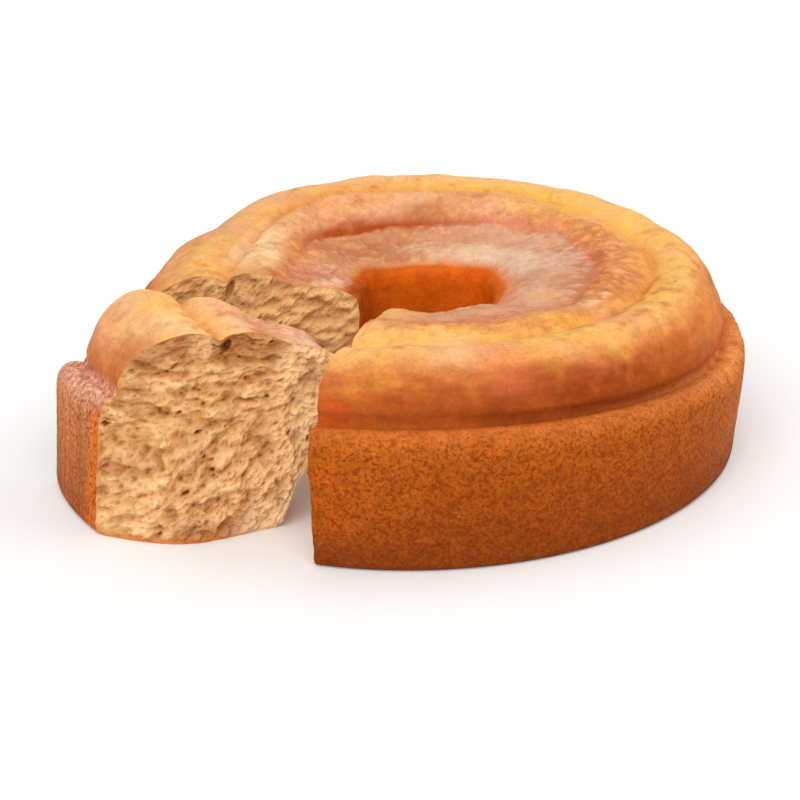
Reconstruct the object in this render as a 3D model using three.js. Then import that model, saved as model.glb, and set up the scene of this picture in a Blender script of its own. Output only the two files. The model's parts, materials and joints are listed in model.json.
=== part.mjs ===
// A ring-shaped orange cake, 240 mm across, with one slice cut and drawn out of it.
// Millimetres, +Z up, the cut side towards -Y. Radii are measured from the hole's axis,
// and azimuths in degrees turn from +X towards +Y.

import * as THREE from 'three';
import { ImprovedNoise } from 'three/addons/math/ImprovedNoise.js';

// Lower part, shaped by the tin: a flared wall with a ledge on top of it.
const BASE_R = 114.7;
const FOOT_ROUND = 3;
const LEDGE_R = 120;
const LEDGE_Z = 52;
const LEDGE_ROUND = 6;
const LEDGE_DROP = 11; // how far down the wall the rounding of the ledge begins

// Risen top, from the crease above the ledge to the lip of the hole: radius and height.
const CREASE = [110, 51.2];
const TOP = [
  [110.8, 57.5], // flank of the outer roll
  [106.5, 66.5],
  [95, 73.6], // crest of the outer roll
  [82.5, 71.8], // groove between the rolls
  [72, 73.4], // crest of the inner roll
  [65, 72.2],
  [60, 69.8], // step down to the sugared slope
  [47, 67.8],
  [38, 66.2], // lip
];

// Hole: its mouth, the upright neck below that, and the bell that opens towards the base.
const MOUTH = [31.3, 62.8];
const NECK_R = 28.5;
const NECK_TOP_Z = 57;
const NECK_BOTTOM_Z = 42;
const BELL = [43, 27];
const BORE_BASE_R = 49;
const BORE_ROUND = 5;

// The cake rose unevenly: the outer roll is highest at the back, lowest at the right and level at the
// front, the inner one is highest at the front, the ledge dips towards the back, the groove wanders,
// and the crust has soft lumps.
const OUTER_RISE = 8;
const OUTER_RISE_AZIMUTH = 110;
const FRONT_RISE = { height: 7, middle: -95, spread: 60 };
const INNER_RISE = 3.2;
const INNER_RISE_AZIMUTH = -90;
const LEDGE_DIP = 6;
const LEDGE_DIP_SPAN = { from: -1, to: 0.3 }; // share of the radius, from front to back
const GROOVE_OUT = { shift: 2, middle: 0, spread: 35 };
const GROOVE_IN = { shift: -10, middle: 170, spread: 30 };
const LUMP_HEIGHT = 1.1;
const LUMP_SIZE = 24;

// A crack runs along the foot of the inner roll, behind the hole.
const CRACK_R = 62;
const CRACK_WIDTH = 3.5;
const CRACK_DEPTH = 3;
const CRACK_AZIMUTH = 100;
const CRACK_FADE = 3;

// Where the ring is cut.
const FRONT_CUT = -111.5;
const BACK_CUT = 190.5;

// The slice is a wedge whose front face lies along X. Its cut is skewed across the ring, it leans,
// its front foot bulges, and its top differs from front to back. Its inner end is worn short.
const SLICE_ANGLE = 26;
const SLICE_FRONT = 180;
const SLICE_CENTRE = [-8, -72];
const SLICE_SKEW = 0.66;
const SLICE_LEAN = 0.235;
const SLICE_RISE = { front: 0.6, back: 3.4 };
const SLICE_FLANK = { front: 3, back: -0.5 };
const SLICE_GROOVE = { front: -1.9, back: 0.8 };
const SLICE_DIP = 4;
const SLICE_SHORT = 8;
const SLICE_BOW = 12;
const SLICE_BOW_BIAS = 1.4;

// Rough crumb on the cut faces, on rings that shrink towards the middle of the face.
const CRUMB_RELIEF = 1.1;
const CRUMB_SIZE = 9;
const CRUMB_RINGS = [0.84, 0.66, 0.46, 0.24];

// Zones of the section, by radius: the sugared slope ends and the outer roll begins.
const SLOPE_R = 50;
const ROLL_R = 80;
const CREST_R = 92;
const MIDDLE_Z = 39;

// How finely the pieces are divided round the ring.
const RING_STEPS = 72;
const SLICE_STEPS = 9;

const noise = new ImprovedNoise();
const rad = THREE.MathUtils.degToRad;
const mix = THREE.MathUtils.lerp;
const smooth = THREE.MathUtils.smoothstep;
const at = (r, z) => new THREE.Vector2(r, z);
const line = (from, to) => new THREE.LineCurve(from, to);
const bend = (from, via, to) => new THREE.QuadraticBezierCurve(from, via, to);

// The closed section: out along the base, up the wall, over the top and down the hole.
// Each edge is a curve with the number of stretches it is cut into.
function sectionLoop() {
  const baseStart = at(BORE_BASE_R + BORE_ROUND, 0);
  const baseEnd = at(BASE_R - FOOT_ROUND, 0);
  const wallStart = at(BASE_R, 0).lerp(at(LEDGE_R, LEDGE_Z), FOOT_ROUND / LEDGE_Z);
  const wallEnd = at(LEDGE_R, LEDGE_Z).lerp(at(BASE_R, 0), LEDGE_DROP / LEDGE_Z);
  const ledge = at(LEDGE_R - LEDGE_ROUND, LEDGE_Z);
  const crease = at(...CREASE);
  const mouth = at(...MOUTH);
  const neckTop = at(NECK_R, NECK_TOP_Z);
  const neckBottom = at(NECK_R, NECK_BOTTOM_Z);
  const bellEnd = at(BORE_BASE_R, BORE_ROUND);
  const edges = [
    [line(baseStart, baseEnd), 4],
    [bend(baseEnd, at(BASE_R, 0), wallStart), 2],
    [line(wallStart, wallEnd), 4],
    [bend(wallEnd, at(LEDGE_R, LEDGE_Z), ledge), 3],
    [line(ledge, crease), 2],
    [new THREE.SplineCurve([crease, ...TOP.map((p) => at(...p)), mouth]), 26],
    [bend(mouth, at(NECK_R, MOUTH[1]), neckTop), 2],
    [line(neckTop, neckBottom), 2],
    [bend(neckBottom, at(...BELL), bellEnd), 4],
    [bend(bellEnd, at(BORE_BASE_R, 0), baseStart), 2],
  ];
  return edges.flatMap(([curve, stretches]) => curve.getPoints(stretches).slice(0, -1));
}

const LOOP = sectionLoop();
const MIDDLE = at((BORE_BASE_R + BASE_R) / 2, MIDDLE_Z);
const CREST_Z = Math.max(...TOP.map(([, z]) => z));

// 1 at one azimuth, falling away on both sides of it.
function hump(azimuth, { middle, spread }) {
  const away = THREE.MathUtils.euclideanModulo(azimuth - middle + 180, 360) - 180;
  return Math.exp(-((away / spread) ** 2));
}

// How far the ring's groove strays, its rolls rise and its ledge dips at an azimuth.
function ringSwell(azimuth) {
  const tilt = OUTER_RISE * Math.cos(rad(azimuth - OUTER_RISE_AZIMUTH));
  return {
    groove: GROOVE_OUT.shift * hump(azimuth, GROOVE_OUT) + GROOVE_IN.shift * hump(azimuth, GROOVE_IN),
    outer: tilt + FRONT_RISE.height * hump(azimuth, FRONT_RISE),
    inner: INNER_RISE * Math.cos(rad(azimuth - INNER_RISE_AZIMUTH)),
    dip: LEDGE_DIP * smooth(Math.sin(rad(azimuth)), LEDGE_DIP_SPAN.from, LEDGE_DIP_SPAN.to),
    flank: 0,
    short: 0,
  };
}

// The same for the slice, from its front face to its back face.
function sliceSwell(azimuth) {
  const behind = (SLICE_FRONT - azimuth) / SLICE_ANGLE;
  return {
    groove: mix(SLICE_GROOVE.front, SLICE_GROOVE.back, behind),
    outer: mix(SLICE_RISE.front, SLICE_RISE.back, behind),
    inner: 0,
    dip: SLICE_DIP * behind,
    flank: mix(SLICE_FLANK.front, SLICE_FLANK.back, behind),
    short: SLICE_SHORT,
  };
}

// One point of the section, set at an azimuth and made uneven there.
function cakePoint(p, azimuth, swell) {
  const onTop = smooth(p.y, LEDGE_Z, CREST_Z);
  const outside = smooth(p.x, SLOPE_R, ROLL_R);
  const betweenRolls = smooth(p.x, MOUTH[0], CRACK_R) * (1 - smooth(p.x, CREST_R, CREASE[0]));
  const wander = swell.groove * onTop * betweenRolls;
  const aboveWall = smooth(p.y, LEDGE_Z - LEDGE_ROUND, CREASE[1]);
  const onFlank = smooth(p.x, CREST_R, CREASE[0]) * (1 - smooth(p.x, CREASE[0], LEDGE_R));
  const flank = swell.flank * onFlank * aboveWall;
  const short = swell.short * (1 - smooth(p.x, NECK_R, CRACK_R));
  const r = p.x + wander + flank + short;

  const crackSide = Math.max(0, Math.cos(rad(azimuth - CRACK_AZIMUTH))) ** CRACK_FADE;
  const crack = CRACK_DEPTH * crackSide * Math.exp(-(((p.x - CRACK_R) / CRACK_WIDTH) ** 2));
  const dip = swell.dip * outside * smooth(p.y, 0, LEDGE_Z) * (1 - onTop);
  const z = p.y - dip + onTop * (mix(swell.inner, swell.outer, outside) - crack);

  const radial = new THREE.Vector3(Math.cos(rad(azimuth)), Math.sin(rad(azimuth)), 0);
  const point = radial.clone().multiplyScalar(r).setZ(z);
  const lump = noise.noise(point.x / LUMP_SIZE, point.y / LUMP_SIZE, point.z / LUMP_SIZE);
  const push = LUMP_HEIGHT * lump * smooth(p.y, 0, CREST_Z);
  const out = p.clone().sub(MIDDLE).normalize();
  return point.addScaledVector(radial, out.x * push).setZ(z + out.y * push);
}

// A solid swept from one azimuth to another, closed by a rough crumb face at either end.
function cakePiece(from, to, steps, swellAt) {
  const points = [];
  const index = [];
  const count = LOOP.length;

  const joinLoops = (first, second) => {
    for (let i = 0; i < count; i += 1) {
      const next = (i + 1) % count;
      index.push(first + i, second + i, first + next);
      index.push(second + i, second + next, first + next);
    }
  };

  const addCrumbFace = (edge, azimuth, atEnd) => {
    const middle = cakePoint(MIDDLE, azimuth, swellAt(azimuth));
    const across = new THREE.Vector3(-Math.sin(rad(azimuth)), Math.cos(rad(azimuth)), 0);
    const roughen = (point) => {
      const outwards = Math.hypot(point.x, point.y);
      const relief = noise.noise(outwards / CRUMB_SIZE, point.z / CRUMB_SIZE, azimuth);
      return point.addScaledVector(across, CRUMB_RELIEF * relief);
    };
    let outer = edge;
    for (const scale of CRUMB_RINGS) {
      const inner = points.length;
      for (let i = 0; i < count; i += 1) {
        points.push(roughen(middle.clone().lerp(points[edge + i], scale)));
      }
      if (atEnd) joinLoops(outer, inner);
      else joinLoops(inner, outer);
      outer = inner;
    }
    const tip = points.length;
    points.push(roughen(middle.clone()));
    for (let i = 0; i < count; i += 1) {
      const next = (i + 1) % count;
      if (atEnd) index.push(outer + i, tip, outer + next);
      else index.push(outer + i, outer + next, tip);
    }
  };

  for (let step = 0; step <= steps; step += 1) {
    const azimuth = mix(from, to, step / steps);
    const swell = swellAt(azimuth);
    LOOP.forEach((p) => points.push(cakePoint(p, azimuth, swell)));
  }
  for (let step = 0; step < steps; step += 1) joinLoops(step * count, (step + 1) * count);
  addCrumbFace(0, from, false);
  addCrumbFace(steps * count, to, true);

  const geometry = new THREE.BufferGeometry().setFromPoints(points);
  geometry.setIndex(index);
  return geometry;
}

// Lets the slice's front face bulge forward towards its foot.
function bowFrontFace(geometry) {
  const position = geometry.attributes.position;
  const point = new THREE.Vector3();
  for (let i = 0; i < position.count; i += 1) {
    point.fromBufferAttribute(position, i);
    const outwards = (Math.hypot(point.x, point.y) - BORE_BASE_R) / (BASE_R - BORE_BASE_R);
    const hump = Math.sin(Math.PI * THREE.MathUtils.clamp(outwards, 0, 1) ** SLICE_BOW_BIAS);
    const low = 1 - smooth(point.z, 0, CREST_Z);
    const behind = Math.atan2(Math.max(point.y, 0), -point.x);
    const near = 1 - smooth(behind, 0, rad(SLICE_ANGLE));
    position.setY(i, point.y - SLICE_BOW * hump * low * near);
  }
}

function makeRing() {
  const crust = new THREE.MeshStandardMaterial({ color: 0xd98a3d, roughness: 0.75, metalness: 0 });
  const ring = new THREE.Mesh(cakePiece(FRONT_CUT, BACK_CUT, RING_STEPS, ringSwell), crust);
  ring.name = 'ring';
  return ring;
}

function makeSlice() {
  const geometry = cakePiece(SLICE_FRONT - SLICE_ANGLE, SLICE_FRONT, SLICE_STEPS, sliceSwell);
  bowFrontFace(geometry);
  geometry.applyMatrix4(new THREE.Matrix4().makeShear(0, 0, -SLICE_SKEW, 0, SLICE_LEAN, 0));
  const crumb = new THREE.MeshStandardMaterial({ color: 0xd9ac72, roughness: 0.9, metalness: 0 });
  const slice = new THREE.Mesh(geometry, crumb);
  slice.name = 'slice';
  slice.position.set(...SLICE_CENTRE, 0);
  return slice;
}

// The whole cake stands with the middle of its underside at the origin.
const cake = new THREE.Group();
cake.add(makeRing(), makeSlice());
const box = new THREE.Box3().setFromObject(cake);
const middle = box.getCenter(new THREE.Vector3());
cake.position.set(-middle.x, -middle.y, -box.min.z);

export default cake;
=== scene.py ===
"""Looks of an orange ring cake with one slice cut and drawn out of it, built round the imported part.

Sizes below are in millimetres, and the meshes are in metres. Radii are measured from the hole's axis,
and azimuths in degrees turn from +X towards +Y about it."""

import json
import math

import bmesh
import bpy
import numpy as np
from mathutils import Matrix, Vector, noise

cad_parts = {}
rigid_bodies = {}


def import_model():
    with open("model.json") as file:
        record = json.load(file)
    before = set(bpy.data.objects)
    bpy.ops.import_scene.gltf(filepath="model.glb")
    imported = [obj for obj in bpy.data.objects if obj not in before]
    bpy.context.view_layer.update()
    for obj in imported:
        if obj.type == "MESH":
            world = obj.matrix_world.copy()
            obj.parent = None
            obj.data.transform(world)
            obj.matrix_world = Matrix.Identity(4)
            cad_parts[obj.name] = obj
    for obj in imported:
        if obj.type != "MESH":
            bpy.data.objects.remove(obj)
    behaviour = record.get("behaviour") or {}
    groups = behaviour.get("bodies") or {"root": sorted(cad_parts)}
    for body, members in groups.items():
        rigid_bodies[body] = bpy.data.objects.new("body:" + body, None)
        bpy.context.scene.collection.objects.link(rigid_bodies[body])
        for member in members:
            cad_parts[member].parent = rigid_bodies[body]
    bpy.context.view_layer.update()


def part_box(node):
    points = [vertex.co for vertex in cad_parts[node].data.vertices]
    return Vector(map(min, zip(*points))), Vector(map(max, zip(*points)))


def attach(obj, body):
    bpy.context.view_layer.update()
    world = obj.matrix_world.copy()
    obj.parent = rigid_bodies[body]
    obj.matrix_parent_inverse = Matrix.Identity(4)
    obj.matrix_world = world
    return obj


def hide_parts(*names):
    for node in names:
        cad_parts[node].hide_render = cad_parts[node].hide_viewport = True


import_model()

MM = 0.001

# Lower part, shaped by the tin.
BASE_R = 114.7
FOOT_ROUND = 3
LEDGE_R = 120
LEDGE_Z = 52
LEDGE_ROUND = 7.5
LEDGE_DROP = 11

# Risen top, from the crease above the ledge to the mouth of the hole: radius and height.
CREASE = (110, 51.2)
FLANK = (110.8, 57.5)
SHOULDER = (106.5, 66.5)
CREST = (95, 73.6)
GROOVE = (82.5, 71.8)
INNER_CREST = (72, 73.4)
STEP_TOP = (65, 72.2)
STEP_FOOT = (60, 69.8)
SLOPE = (47, 67.8)
LIP = (38, 66.2)
MOUTH = (31.3, 62.8)
TOP = (CREASE, FLANK, SHOULDER, CREST, GROOVE, INNER_CREST, STEP_TOP, STEP_FOOT, SLOPE, LIP, MOUTH)

# How far the bend at the crease reaches towards the ledge and up the flank.
CREASE_BEND = (0.7, 0.6)

# More places on the crust, for its roughness and its tints.
WALL_MIDDLE = (118, 30)
WALL_TOP = (119, 43)
LEDGE_BROW = (119.4, 44)
LEDGE_TOP = (116, 52)
LEDGE_FOOT = (111.5, 51.4)
CREASE_FOOT = (113, 51.6)
CREASE_TOP = (110.4, 54)
FLANK_TOP = (109.5, 62)

# Hole.
NECK_R = 28.5
NECK_TOP_Z = 57
NECK_BOTTOM_Z = 42
BELL = (43, 27)
BORE_BASE_R = 49
BORE_ROUND = 5

# Uneven rise. A triple is a shift, the azimuth where it is full, and how far it spreads in degrees.
OUTER_RISE = 8
OUTER_RISE_AZIMUTH = 110
FRONT_RISE = 7
FRONT_RISE_AT = (-95, 60)
DENTS = ((-1.8, 150, 12), (1.0, 124, 10), (-0.8, 40, 9))
INNER_RISE = 3.2
INNER_RISE_AZIMUTH = -90
RIM_SAGS = ((-4.6, -42, 20), (-2.6, -84, 22))
LEDGE_DIP = 6.8
LEDGE_DIP_SPAN = (-105, -5)
LEDGE_SAG = (1.6, -20, 16)
GROOVE_SHIFTS = ((2, 0, 35), (-10, 170, 30))
BASIN_SHIFTS = ((5.5, 123, 18), (-1.5, 88, 16))
HOLE_SHIFTS = ((-4, 0, 45), (2.5, -60, 30), (3, -100, 25),
               (3, 132, 16), (2.2, 48, 14), (-3.5, 172, 18))
LUMP_HEIGHT = 1.1
LUMP_SIZE = 24
SLOPE_R = 50
ROLL_R = 80
CREST_R = 92
MIDDLE = (81.85, 39)

# Fold where the two rolls meet.
FOLD_R = 82
FOLD_WIDTH = 2.0
FOLD_DEPTH = 2.4
FOLD_MEAN = 0.75
FOLD_CHANGE = 0.5
FOLD_WIGGLE = 1.2
FOLD_GAP = (50, 28)
FOLD_LOST = 0.85

# The roll tucks in over the ledge on the right, and less so at the front.
TUCK = 1.3
TUCK_REACH = 3.6
TUCK_AZIMUTH = -22
TUCK_EASE = 0.9
TUCK_EASE_AZIMUTH = -105
GUTTER = (1.3, -40, 28)
GUTTER_R = 109
GUTTER_REACH = 6

# Crack along the foot of the inner roll.
CRACK_R = 61.8
CRACK_BRINK = 1.4
CRACK_FLOOR = 5
CRACK_DEPTH = 1.5
CRACK_WIGGLE = 1.4
CRACK_AZIMUTH = 108
CRACK_FADE = 5
CRACK_LINE = 0.9
CRACK_GAPE = 2.4
CRACK_GAPE_AT = (117, 8)
CRACK_GAPE_DEPTH = 0.9

# Noise that the fold and the crack follow: its length in degrees, and a row of its own.
FOLD_COURSE = (11, 80)
FOLD_SWELL = (14, 40)
CRACK_COURSE = (12, 0)
CRACK_RAGS = (5, 20)

# The fold and the crack end this far under the skin.
SKIN_DEPTH = 6

# Cuts of the ring, and the slice that was drawn out of it.
FRONT_CUT = -111.5
BACK_CUT = 190.5
FRONT_CUT_LEAN = (-1, 3)
FRONT_CUT_REACH = 12
FRONT_END_SLUMP = 2.2
SLICE_FRONT = 180
SLICE_ANGLE = 26
SLICE_CENTRE = (-8, -72)
SLICE_SKEW = 0.66
SLICE_LEAN = 0.235
SLICE_RISE = (0.6, 3.4)
SLICE_FLANK = (3, -0.5)
SLICE_GROOVE = (-1.9, 0.8)
SLICE_DIP = 4
SLICE_SHORT = 8
SLICE_BOW = 12
SLICE_BOW_BIAS = 1.4
SLICE_TOE = 4
SLICE_TOE_R = 81.8
SLICE_TOE_Z = (20, 55)

# The cut edges waver: how far, over what length, and how deep into the crust.
WAVER = 0.9
WAVER_SIZE = 15
WAVER_REACH = 7
WAVER_FINE = 0.6
WAVER_FOOT = 4
WAVER_ROW = 17

# How finely the pieces are divided: columns over the top, rows up the wall, steps round the axis,
# extra cuts on the two crumb faces, and how often their grids are eased.
RING_MESH = {"columns": 100, "rows": 30, "steps": 340, "first_cuts": 1, "last_cuts": 2}
SLICE_MESH = {"columns": 100, "rows": 56, "steps": 40, "first_cuts": 1, "last_cuts": 2}
GRID_EASE = 80
CUT_TOLERANCE = 0.1
BASE_TOLERANCE = 0.01
POINTS_AT_ONCE = 4000

# Camera, fitted to the photograph: degrees, millimetres, and pixels of the 800 by 800 frame.
CAMERA_ELEVATION = 22.7
CAMERA_ROLL = -2.47
CAMERA_DISTANCE = 794
CAMERA_FOCAL_PX = 2037
CAMERA_CENTRE_PX = (434.9, 441.3)
FRAME_PX = 800
SENSOR = 36

low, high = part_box("ring")
AXIS = Vector((high.x - (high.y - low.y) / 2, (high.y + low.y) / 2, 0))


def smooth(x, start, end):
    t = np.clip((x - start) / (end - start), 0, 1)
    return t * t * (3 - 2 * t)


def mix(a, b, t):
    return a + (b - a) * t


def cos_deg(angle):
    return np.cos(np.radians(angle))


def sin_deg(angle):
    return np.sin(np.radians(angle))


# The outline of the section.

def straight(start, end, count=24):
    t = np.linspace(0, 1, count)[:, None]
    return np.array(start) * (1 - t) + np.array(end) * t


def bend(start, via, end, count=24):
    t = np.linspace(0, 1, count)[:, None]
    return (1 - t) ** 2 * np.array(start) + 2 * t * (1 - t) * np.array(via) + t * t * np.array(end)


def flow(points, count=16):
    """A smooth line through the points."""
    p = np.array(points, float)
    p = np.vstack([p[:1], p, p[-1:]])
    t = np.linspace(0, 1, count, endpoint=False)[:, None]
    runs = []
    for a, b, c, d in zip(p, p[1:], p[2:], p[3:]):
        leave, arrive = (c - a) / 2, (d - b) / 2
        runs.append((2 * b - 2 * c + leave + arrive) * t ** 3
                    + (3 * c - 3 * b - 2 * leave - arrive) * t ** 2 + leave * t + b)
    return np.vstack(runs + [p[-1:]])


def joined(*runs):
    return np.vstack([runs[0]] + [run[1:] for run in runs[1:]])


def lengths(points):
    return np.concatenate([[0], np.cumsum(np.linalg.norm(np.diff(points, axis=0), axis=1))])


def divided(points, count):
    """The line divided into equal stretches."""
    run = lengths(points)
    at = np.linspace(0, run[-1], count + 1)
    return np.column_stack([np.interp(at, run, points[:, 0]), np.interp(at, run, points[:, 1])])


def section_sides():
    """Wall, top and hole in turn, from the foot of the wall to the foot of the hole."""
    foot, ledge = np.array((BASE_R, 0)), np.array((LEDGE_R, LEDGE_Z))
    wall_start = mix(foot, ledge, FOOT_ROUND / LEDGE_Z)
    wall_end = mix(ledge, foot, LEDGE_DROP / LEDGE_Z)
    foot_bend = bend((BASE_R - FOOT_ROUND, 0), foot, wall_start)
    ledge_bend = bend(wall_end, ledge, (LEDGE_R - LEDGE_ROUND, LEDGE_Z))
    neck_bend = bend(MOUTH, (NECK_R, MOUTH[1]), (NECK_R, NECK_TOP_Z))
    neck = straight((NECK_R, NECK_TOP_Z), (NECK_R, NECK_BOTTOM_Z))
    bell = bend((NECK_R, NECK_BOTTOM_Z), BELL, (BORE_BASE_R, BORE_ROUND))
    bore_bend = bend((BORE_BASE_R, BORE_ROUND), (BORE_BASE_R, 0), (BORE_BASE_R + BORE_ROUND, 0))
    half = len(ledge_bend) // 2
    wall = joined(foot_bend, straight(wall_start, wall_end), ledge_bend[:half + 1])
    ledge_end = mix(np.array(CREASE), ledge_bend[-1], CREASE_BEND[0])
    flank_start = mix(np.array(CREASE), np.array(FLANK), CREASE_BEND[1])
    top = joined(ledge_bend[half:], straight(ledge_bend[-1], ledge_end),
                 bend(ledge_end, CREASE, flank_start), flow((tuple(flank_start), *TOP[1:])))
    hole = joined(neck_bend, neck, bell, bore_bend)
    return wall, top, hole


WALL, TOP_LINE, HOLE = section_sides()
CRUST_LINE = joined(WALL, TOP_LINE, HOLE)
CRUST_RUN = lengths(CRUST_LINE)


def along(point):
    """Where a point of the crust lies, from 0 at the wall's foot to 1 at the foot of the hole."""
    nearest = np.argmin(np.linalg.norm(CRUST_LINE - np.array(point), axis=1))
    return CRUST_RUN[nearest] / CRUST_RUN[-1]


# Modelling by operators.

def placed(point, azimuth):
    r, z = point
    return AXIS + Vector((r * cos_deg(azimuth), r * sin_deg(azimuth), z)) * MM


def at_cut(vert, azimuth):
    turn = math.degrees(math.atan2(vert.co.y - AXIS.y, vert.co.x - AXIS.x)) - azimuth
    return abs((turn + 180) % 360 - 180) < CUT_TOLERANCE


def on_base(vert):
    return vert.co.z < BASE_TOLERANCE * MM


def select(piece, mode, wanted):
    """Selects the elements of one kind that pass a test, and nothing else."""
    bpy.ops.mesh.select_all(action="DESELECT")
    bpy.ops.mesh.select_mode(type=mode)
    mesh = bmesh.from_edit_mesh(piece.data)
    elements = {"VERT": mesh.verts, "EDGE": mesh.edges, "FACE": mesh.faces}[mode]
    for element in elements:
        element.select = wanted(element)
    mesh.select_flush_mode()
    return mesh


def draw_crust_line(name, corners):
    """One vertex, extruded from point to point along the crust."""
    bpy.ops.object.select_all(action="DESELECT")
    bpy.ops.mesh.primitive_plane_add(size=MM, location=corners[0])
    piece = bpy.context.object
    piece.name = name
    piece.data.name = name
    bpy.ops.object.transform_apply(location=True)
    bpy.ops.object.mode_set(mode="EDIT")
    bpy.ops.mesh.select_all(action="SELECT")
    bpy.ops.mesh.merge(type="CENTER")
    for start, end in zip(corners, corners[1:]):
        bpy.ops.mesh.extrude_vertices_move(TRANSFORM_OT_translate={"value": end - start})
    return piece


def close_base(piece):
    """Bridges the foot of the wall to the foot of the hole."""
    select(piece, "EDGE", lambda edge: edge.is_boundary and all(on_base(v) for v in edge.verts))
    bpy.ops.mesh.bridge_edge_loops()


def fill_cut(piece, azimuth, columns, start, cuts):
    """Closes one cut end with an even grid of faces, gives them the crumb and divides them finely."""
    def on_cut(edge):
        return edge.is_boundary and all(at_cut(v, azimuth) for v in edge.verts)

    select(piece, "EDGE", lambda edge: on_cut(edge) and all(on_base(v) for v in edge.verts))
    bpy.ops.mesh.subdivide(number_cuts=columns - 1)
    select(piece, "EDGE", on_cut)
    bpy.ops.mesh.mark_sharp()
    bpy.ops.mesh.select_mode(type="VERT")
    mesh = bmesh.from_edit_mesh(piece.data)
    corner = placed(start, azimuth)
    first = min((v for v in mesh.verts if v.select), key=lambda v: (v.co - corner).length)
    mesh.select_history.clear()
    mesh.select_history.add(first)
    bpy.ops.mesh.fill_grid(span=columns)
    bpy.ops.mesh.select_mode(type="FACE")
    piece.active_material_index = 1
    bpy.ops.object.material_slot_assign()
    bpy.ops.mesh.select_mode(type="VERT")
    bpy.ops.mesh.select_less()
    bpy.ops.mesh.vertices_smooth(factor=0.5, repeat=GRID_EASE)
    bpy.ops.mesh.select_more()
    bpy.ops.mesh.subdivide(number_cuts=cuts)


def spun_piece(name, first, last, sizes, materials):
    """The crust spun from the first cut to the last, closed below and at both cuts."""
    columns, rows = sizes["columns"], sizes["rows"]
    line = joined(divided(WALL, rows), divided(TOP_LINE, columns), divided(HOLE, rows))
    piece = draw_crust_line(name, [placed(point, first) for point in line])
    for material in materials:
        piece.data.materials.append(material)
    bpy.ops.mesh.select_all(action="SELECT")
    turn = math.radians(last - first)
    bpy.ops.mesh.spin(steps=sizes["steps"], angle=turn, center=AXIS, axis=(0, 0, -1))
    close_base(piece)
    fill_cut(piece, first, columns, line[rows], sizes["first_cuts"])
    fill_cut(piece, last, columns, line[rows], sizes["last_cuts"])
    bpy.ops.mesh.select_all(action="SELECT")
    bpy.ops.mesh.normals_make_consistent(inside=False)
    bpy.ops.object.mode_set(mode="OBJECT")
    bpy.ops.object.shade_smooth()
    return piece


# The uneven rise.

def hump(azimuth, middle, spread):
    """1 at one azimuth, falling away on both sides of it."""
    away = (azimuth - middle + 180) % 360 - 180
    return np.exp(-(away / spread) ** 2)


def shifted(azimuth, shifts):
    return sum(shift * hump(azimuth, middle, spread) for shift, middle, spread in shifts)


def ring_swell(azimuth):
    tilt = OUTER_RISE * cos_deg(azimuth - OUTER_RISE_AZIMUTH)
    front_end = hump(azimuth, FRONT_CUT, FRONT_CUT_REACH)
    return {
        "wander": shifted(azimuth, GROOVE_SHIFTS),
        "basin": shifted(azimuth, BASIN_SHIFTS),
        "hole": shifted(azimuth, HOLE_SHIFTS),
        "lean": front_end,
        "outer": tilt + FRONT_RISE * hump(azimuth, *FRONT_RISE_AT) - FRONT_END_SLUMP * front_end
                 + shifted(azimuth, DENTS),
        "inner": INNER_RISE * cos_deg(azimuth - INNER_RISE_AZIMUTH) + shifted(azimuth, RIM_SAGS),
        "dip": LEDGE_DIP * smooth(azimuth, *LEDGE_DIP_SPAN) + shifted(azimuth, (LEDGE_SAG,)),
        "flank": 0,
        "short": 0,
    }


def slice_swell(azimuth):
    behind = (SLICE_FRONT - azimuth) / SLICE_ANGLE
    return {
        "wander": mix(*SLICE_GROOVE, behind),
        "basin": 0,
        "hole": 0,
        "lean": 0,
        "outer": mix(*SLICE_RISE, behind),
        "inner": 0,
        "dip": SLICE_DIP * behind,
        "flank": mix(*SLICE_FLANK, behind),
        "short": SLICE_SHORT,
    }


def crumple(points, size):
    return np.array([noise.noise(Vector(p) / size) for p in points])


def risen(r, z, azimuth, swell):
    """Section points set at their azimuths and made uneven there."""
    top_z = CREST[1]
    on_top = smooth(z, LEDGE_Z, top_z)
    outside = smooth(r, SLOPE_R, ROLL_R)
    between = smooth(r, MOUTH[0], CRACK_R) * (1 - smooth(r, CREST_R, CREASE[0]))
    wander = swell["wander"] * on_top * between
    by_step = smooth(r, SLOPE[0], STEP_FOOT[0]) * (1 - smooth(r, STEP_TOP[0], GROOVE[0]))
    basin = swell["basin"] * on_top * by_step
    above_wall = smooth(z, LEDGE_Z - LEDGE_ROUND, CREASE[1])
    on_flank = smooth(r, CREST_R, CREASE[0]) * (1 - smooth(r, CREASE[0], LEDGE_R))
    flank = swell["flank"] * on_flank * above_wall
    short = swell["short"] * (1 - smooth(r, NECK_R, CRACK_R))
    mouth = swell["hole"] * (1 - smooth(r, NECK_R, SLOPE_R)) * smooth(z, 0, NECK_TOP_Z)
    lean = swell["lean"] * mix(*FRONT_CUT_LEAN, z / top_z)

    dip = swell["dip"] * outside * smooth(z, 0, LEDGE_Z) * (1 - on_top)
    rise = on_top * mix(swell["inner"], swell["outer"], outside)
    azimuth = azimuth + np.degrees(lean / r)
    across, up = cos_deg(azimuth), sin_deg(azimuth)
    radius = r + wander + basin + flank + short + mouth
    points = np.column_stack([radius * across, radius * up, z - dip + rise])

    push = LUMP_HEIGHT * crumple(points, LUMP_SIZE) * smooth(z, 0, top_z)
    out = np.column_stack([r - MIDDLE[0], z - MIDDLE[1]])
    out = out / np.maximum(np.linalg.norm(out, axis=1), 1e-6)[:, None]
    points += push[:, None] * np.column_stack([out[:, 0] * across, out[:, 0] * up, out[:, 1]])
    return points


def along_ring(azimuth, size, row):
    """Noise that depends on the azimuth alone."""
    return crumple(np.column_stack([azimuth, azimuth * 0 + row, azimuth * 0]), size)


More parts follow.
